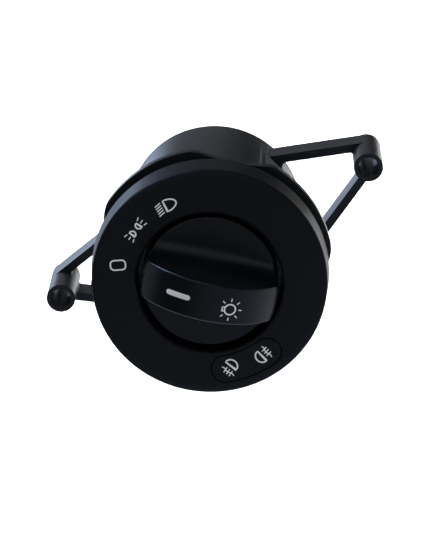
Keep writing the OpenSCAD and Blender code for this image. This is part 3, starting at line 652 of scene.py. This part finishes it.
def clear_moulding(name, colour):
    """Polished clear polycarbonate: it bends light and shows only its edges."""
    material, tree = new_material(name)
    place = add_node(tree, "ShaderNodeTexCoord").outputs["Object"]
    haze = add_node(tree, "ShaderNodeTexNoise", {"Scale": 1 / (haze_width * MM), "Detail": 2.0},
                    {"Vector": place})
    rough = add_node(tree, "ShaderNodeMapRange", {"To Min": 0.06, "To Max": 0.16},
                     {"Value": haze.outputs[0]})
    body = add_node(tree, "ShaderNodeBsdfPrincipled",
                    {"Base Color": linear(colour), "IOR": 1.58, "Transmission Weight": 0.85},
                    {"Roughness": rough.outputs[0]})
    add_node(tree, "ShaderNodeOutputMaterial", {}, {"Surface": body.outputs[0]})
    return material


clear_plastic = clear_moulding("clear_polycarbonate", "#e3eef4")
dressed(["light_guide", "knob_light_guide"], clear_plastic)

# Front board: a ring of glass-fibre laminate under green solder mask, with seven small white
# light-emitting diodes. The rubber mat under the rocker presses its two contact domes.
thread_pitch = 0.987
wave_turn = 20


def solder_mask():
    """Green solder mask over woven glass: glossy, with the weave faintly showing through.
    Its threads are drawn about a millimetre apart, twice a real pitch, so that they show.
    A wave texture turns by 20 radians over one unit of its scaled place."""
    material, tree = new_material("solder_mask_on_glass_fibre")
    thread_scale = 2 * math.pi / wave_turn / (thread_pitch * MM)
    place = add_node(tree, "ShaderNodeTexCoord").outputs["Object"]
    threads = []
    for direction in ("X", "Z"):
        threads.append(add_node(tree, "ShaderNodeTexWave",
                                {"bands_direction": direction, "Scale": thread_scale, "Distortion": 0.3},
                                {"Vector": place}))
    weave = add_node(tree, "ShaderNodeMath", {"operation": "MULTIPLY"})
    tree.links.new(threads[0].outputs[1], weave.inputs[0])
    tree.links.new(threads[1].outputs[1], weave.inputs[1])
    tint = add_node(tree, "ShaderNodeValToRGB", {}, {"Fac": weave.outputs[0]})
    tint.color_ramp.elements[0].color = linear("#123f27")
    tint.color_ramp.elements[1].color = linear("#1f6a40")
    body = add_node(tree, "ShaderNodeBsdfPrincipled", {"Roughness": 0.25, "IOR": 1.52},
                    {"Base Color": tint.outputs["Color"]})
    add_node(tree, "ShaderNodeOutputMaterial", {}, {"Surface": body.outputs[0]})
    return material


dressed(["front_board"], solder_mask())
dressed(["leds"], white_insert("milky_lamp_epoxy", "#e8e6dc", painted_glow=0.0))
silicone = moulded_plastic("silicone_rubber", "#33383e", roughness=0.7, grain=0.4, relief=0.01, gloss=0.3)
dressed(["key_mat"], silicone)

# Moving core: the knob turns a grey acetal spindle and rotor. Two steel balls, each pushed out
# by a coil spring, snap into the notches of a white detent ring, and sprung bronze bridges on
# the rotor slide over the tracks of the contact plate.
acetal = moulded_plastic("grey_acetal", "#8b9094", roughness=0.35, grain=0.5, relief=0.006, mottle=0.05)
dressed(["spindle", "rotor"], acetal)
white_acetal = moulded_plastic("white_acetal", "#dcdedb", roughness=0.35, grain=0.5, relief=0.006,
                               mottle=0.04)
dressed(["detent_ring"], white_acetal)


def drawn_metal(name, colour, roughness, line_width):
    """Drawn or stamped metal: fine lines along the switch's axis break up the shine. Their width
    is in millimetres, several times a real line's, so that they show."""
    material, tree = new_material(name)
    place = add_node(tree, "ShaderNodeTexCoord").outputs["Object"]
    long_way = add_node(tree, "ShaderNodeMapping", {"Scale": (1.0, 0.08, 1.0)}, {"Vector": place})
    lines = add_node(tree, "ShaderNodeTexNoise", {"Scale": 1 / (line_width * MM), "Detail": 3.0},
                     {"Vector": long_way.outputs[0]})
    tint = add_node(tree, "ShaderNodeValToRGB", {}, {"Fac": lines.outputs[0]})
    tint.color_ramp.elements[0].color = shade(colour, 0.8)
    tint.color_ramp.elements[1].color = linear(colour)
    rough = add_node(tree, "ShaderNodeMapRange", {"To Min": roughness - 0.06, "To Max": roughness + 0.08},
                     {"Value": lines.outputs[0]})
    bump = add_node(tree, "ShaderNodeBump", {"Strength": 0.3, "Distance": 0.01 * MM},
                    {"Height": lines.outputs[0]})
    body = add_node(tree, "ShaderNodeBsdfPrincipled", {"Metallic": 1.0},
                    {"Base Color": tint.outputs["Color"], "Roughness": rough.outputs[0],
                     "Normal": bump.outputs[0]})
    add_node(tree, "ShaderNodeOutputMaterial", {}, {"Surface": body.outputs[0]})
    return material


spring_steel = drawn_metal("spring_steel", "#b9bcbe", roughness=0.28, line_width=0.3)
contact_bronze = drawn_metal("contact_bronze", "#c08a52", roughness=0.3, line_width=0.3)
dressed(["detent_balls", "detent_springs", "knob_clip", "spindle_clip"], spring_steel)
dressed(["contact_bridges", "contact_tracks", "link_pins"], contact_bronze)

# Connector pins: two rows of flat blades, stamped from bronze strip and pressed through the
# contact plate. Each blade ends in a tapered tip that leads it into the harness plug.
pins_per_row = 6
pin_pitch = 4.0
row_pitch = 7.0
pin_width = 1.5
pin_thickness = 0.8
tip_length = 1.4
tip_share = 0.45
blade_edge = 0.08
corners = ((-1, -1), (1, -1), (1, 1), (-1, 1))


def repeat_tree(name, sizes):
    """A node tree with an input for each size, count or angle, and its two end nodes."""
    tree = bpy.data.node_groups.new(name, "GeometryNodeTree")
    tree.interface.new_socket("Geometry", in_out="INPUT", socket_type="NodeSocketGeometry")
    tree.interface.new_socket("Geometry", in_out="OUTPUT", socket_type="NodeSocketGeometry")
    for label, value in sizes.items():
        kind = "NodeSocketInt" if isinstance(value, int) else "NodeSocketFloat"
        tree.interface.new_socket(label, in_out="INPUT", socket_type=kind)
    return tree, tree.nodes.new("NodeGroupInput"), tree.nodes.new("NodeGroupOutput")


def end_repeat(tree, ending, copies, material):
    """Makes the copies real, gives them their finish and ends the tree."""
    real = add_node(tree, "GeometryNodeRealizeInstances", {}, {"Geometry": copies})
    skinned = add_node(tree, "GeometryNodeSetMaterial", {"Material": material},
                       {"Geometry": real.outputs[0]})
    tree.links.new(skinned.outputs[0], ending.inputs[0])


def repeated(skin, tree, sizes):
    """Runs a repeat tree on one piece's skin and returns the plain skin of all its copies."""
    one = raw_object(tree.name, skin)
    modifier = one.modifiers.new("repeat", "NODES")
    modifier.node_group = tree
    for item in tree.interface.items_tree:
        if item.in_out == "INPUT" and item.name in sizes:
            modifier[item.identifier] = sizes[item.name]
    return plain_skin(one)


pins_low, pins_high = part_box("connector_pins")
blade = bmesh.new()
blade_rows = []
for y, share in ((pins_low.y, 1.0), (pins_high.y - tip_length * MM, 1.0), (pins_high.y, tip_share)):
    half_width = pin_width / 2 * MM * (1 + share) / 2
    half_thick = pin_thickness / 2 * MM * share
    blade_rows.append([(x * half_width, y, z * half_thick) for x, z in corners])
blade_grid = join_rows(blade, blade_rows, lambda x, y, z: Vector((x, y, z)), closed=True)
blade.faces.new(blade_grid[0])
blade.faces.new(blade_grid[-1][::-1])
bmesh.ops.recalc_face_normals(blade, faces=blade.faces)
bmesh.ops.bevel(blade, geom=blade.edges[:], offset=blade_edge * MM, segments=2, affect="EDGES")
pin_sizes = {"Pins Per Row": pins_per_row, "Row Length": (pins_per_row - 1) * pin_pitch * MM,
             "Row Pitch": row_pitch * MM}
pin_tree, pin_start, pin_end = repeat_tree("pin_rows", pin_sizes)
grid = add_node(pin_tree, "GeometryNodeMeshGrid", {"Vertices Y": 2},
                {"Vertices X": pin_start.outputs["Pins Per Row"], "Size X": pin_start.outputs["Row Length"],
                 "Size Y": pin_start.outputs["Row Pitch"]})
upright = add_node(pin_tree, "GeometryNodeTransform", {"Rotation": (math.radians(90), 0, 0)},
                   {"Geometry": grid.outputs["Mesh"]})
pins = add_node(pin_tree, "GeometryNodeInstanceOnPoints", {},
                {"Points": upright.outputs[0], "Instance": pin_start.outputs["Geometry"]})
end_repeat(pin_tree, pin_end, pins.outputs[0], contact_bronze)
finished("pin_blades", repeated(blade, pin_tree, pin_sizes), "housing", contact_bronze,
         ["connector_pins"])

# Carrier screws: three pan-head screws of bright steel, driven from behind through the
# flange. Their crowned heads with a cross recess can be seen from the back.
screw_count = 3
screw_at = 29.0
first_screw = 9.5
screw_step = 90
screw_r = 1.2
head_r = 2.2
head_height = 1.5
head_rim = 0.5
head_edge = 0.1
crown_power = 0.8
crown_step = 10
tip_round = (0.3, 0.5)
screw_facets = 24
recess_width = 0.55
recess_length = 2.3
recess_depth = 0.9
screws_low, screws_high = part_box("carrier_screws")


def round_the_screw(r, depth, a):
    """A point of the screw by its radius, its depth in the part and its angle."""
    return Vector((r * math.cos(a) * MM, depth * MM, r * math.sin(a) * MM))


screw = bmesh.new()
screw_tip = screws_low.y / MM
under_head = screws_high.y / MM - head_height
profile = [(0.0, screw_tip), (screw_r - tip_round[0], screw_tip), (screw_r, screw_tip + tip_round[1]),
           (screw_r, under_head), (head_r - head_edge, under_head), (head_r, under_head + head_edge)]
for turn in range(0, 90, crown_step):
    r = head_r * math.cos(math.radians(turn))
    rise = (head_height - head_rim) * math.sin(math.radians(turn + crown_step)) ** crown_power
    profile.append((r, under_head + head_rim + rise))
profile.append((0.0, under_head + head_height))
turns = [2 * math.pi * i / screw_facets for i in range(screw_facets)]
join_rows(screw, [[(r, depth, a) for a in turns] for r, depth in profile], round_the_screw, closed=True)
pointing_out(screw)
cross = bmesh.new()
for along, across in ((recess_length, recess_width), (recess_width, recess_length)):
    for vert in bmesh.ops.create_cube(cross, size=1.0)["verts"]:
        x, y, z = vert.co
        vert.co = Vector((x * along * MM, screws_high.y + y * 2 * recess_depth * MM, z * across * MM))
screw_body = raw_object("screw_body", screw)
driver = raw_object("cross_driver", cross)
cut = screw_body.modifiers.new("recess", "BOOLEAN")
cut.object = driver
cut.solver = "EXACT"
cut.use_self = True
one_screw = plain_skin(screw_body)
bpy.data.objects.remove(driver)
screw_sizes = {"Screws": screw_count, "Radius": screw_at * MM, "First Angle": math.radians(first_screw),
               "Step": math.radians(screw_step)}
screw_tree, screw_start, screw_end = repeat_tree("screw_ring", screw_sizes)
spots = add_node(screw_tree, "GeometryNodePoints", {}, {"Count": screw_start.outputs["Screws"]})
number = add_node(screw_tree, "GeometryNodeInputIndex")
angle = add_node(screw_tree, "ShaderNodeMath", {"operation": "MULTIPLY_ADD"})
screw_tree.links.new(number.outputs[0], angle.inputs[0])
screw_tree.links.new(screw_start.outputs["Step"], angle.inputs[1])
screw_tree.links.new(screw_start.outputs["First Angle"], angle.inputs[2])
sides = []
for side in ("COSINE", "SINE"):
    share = add_node(screw_tree, "ShaderNodeMath", {"operation": side})
    screw_tree.links.new(angle.outputs[0], share.inputs[0])
    reach = add_node(screw_tree, "ShaderNodeMath", {"operation": "MULTIPLY"})
    screw_tree.links.new(share.outputs[0], reach.inputs[0])
    screw_tree.links.new(screw_start.outputs["Radius"], reach.inputs[1])
    sides.append(reach)
spot = add_node(screw_tree, "ShaderNodeCombineXYZ", {}, {"X": sides[0].outputs[0], "Z": sides[1].outputs[0]})
placed = add_node(screw_tree, "GeometryNodeSetPosition", {},
                  {"Geometry": spots.outputs[0], "Position": spot.outputs[0]})
screws = add_node(screw_tree, "GeometryNodeInstanceOnPoints", {},
                  {"Points": placed.outputs[0], "Instance": screw_start.outputs["Geometry"]})
end_repeat(screw_tree, screw_end, screws.outputs[0], spring_steel)
finished("pan_head_screws", repeated(one_screw, screw_tree, screw_sizes), "housing", spring_steel,
         ["carrier_screws"], crease=30)
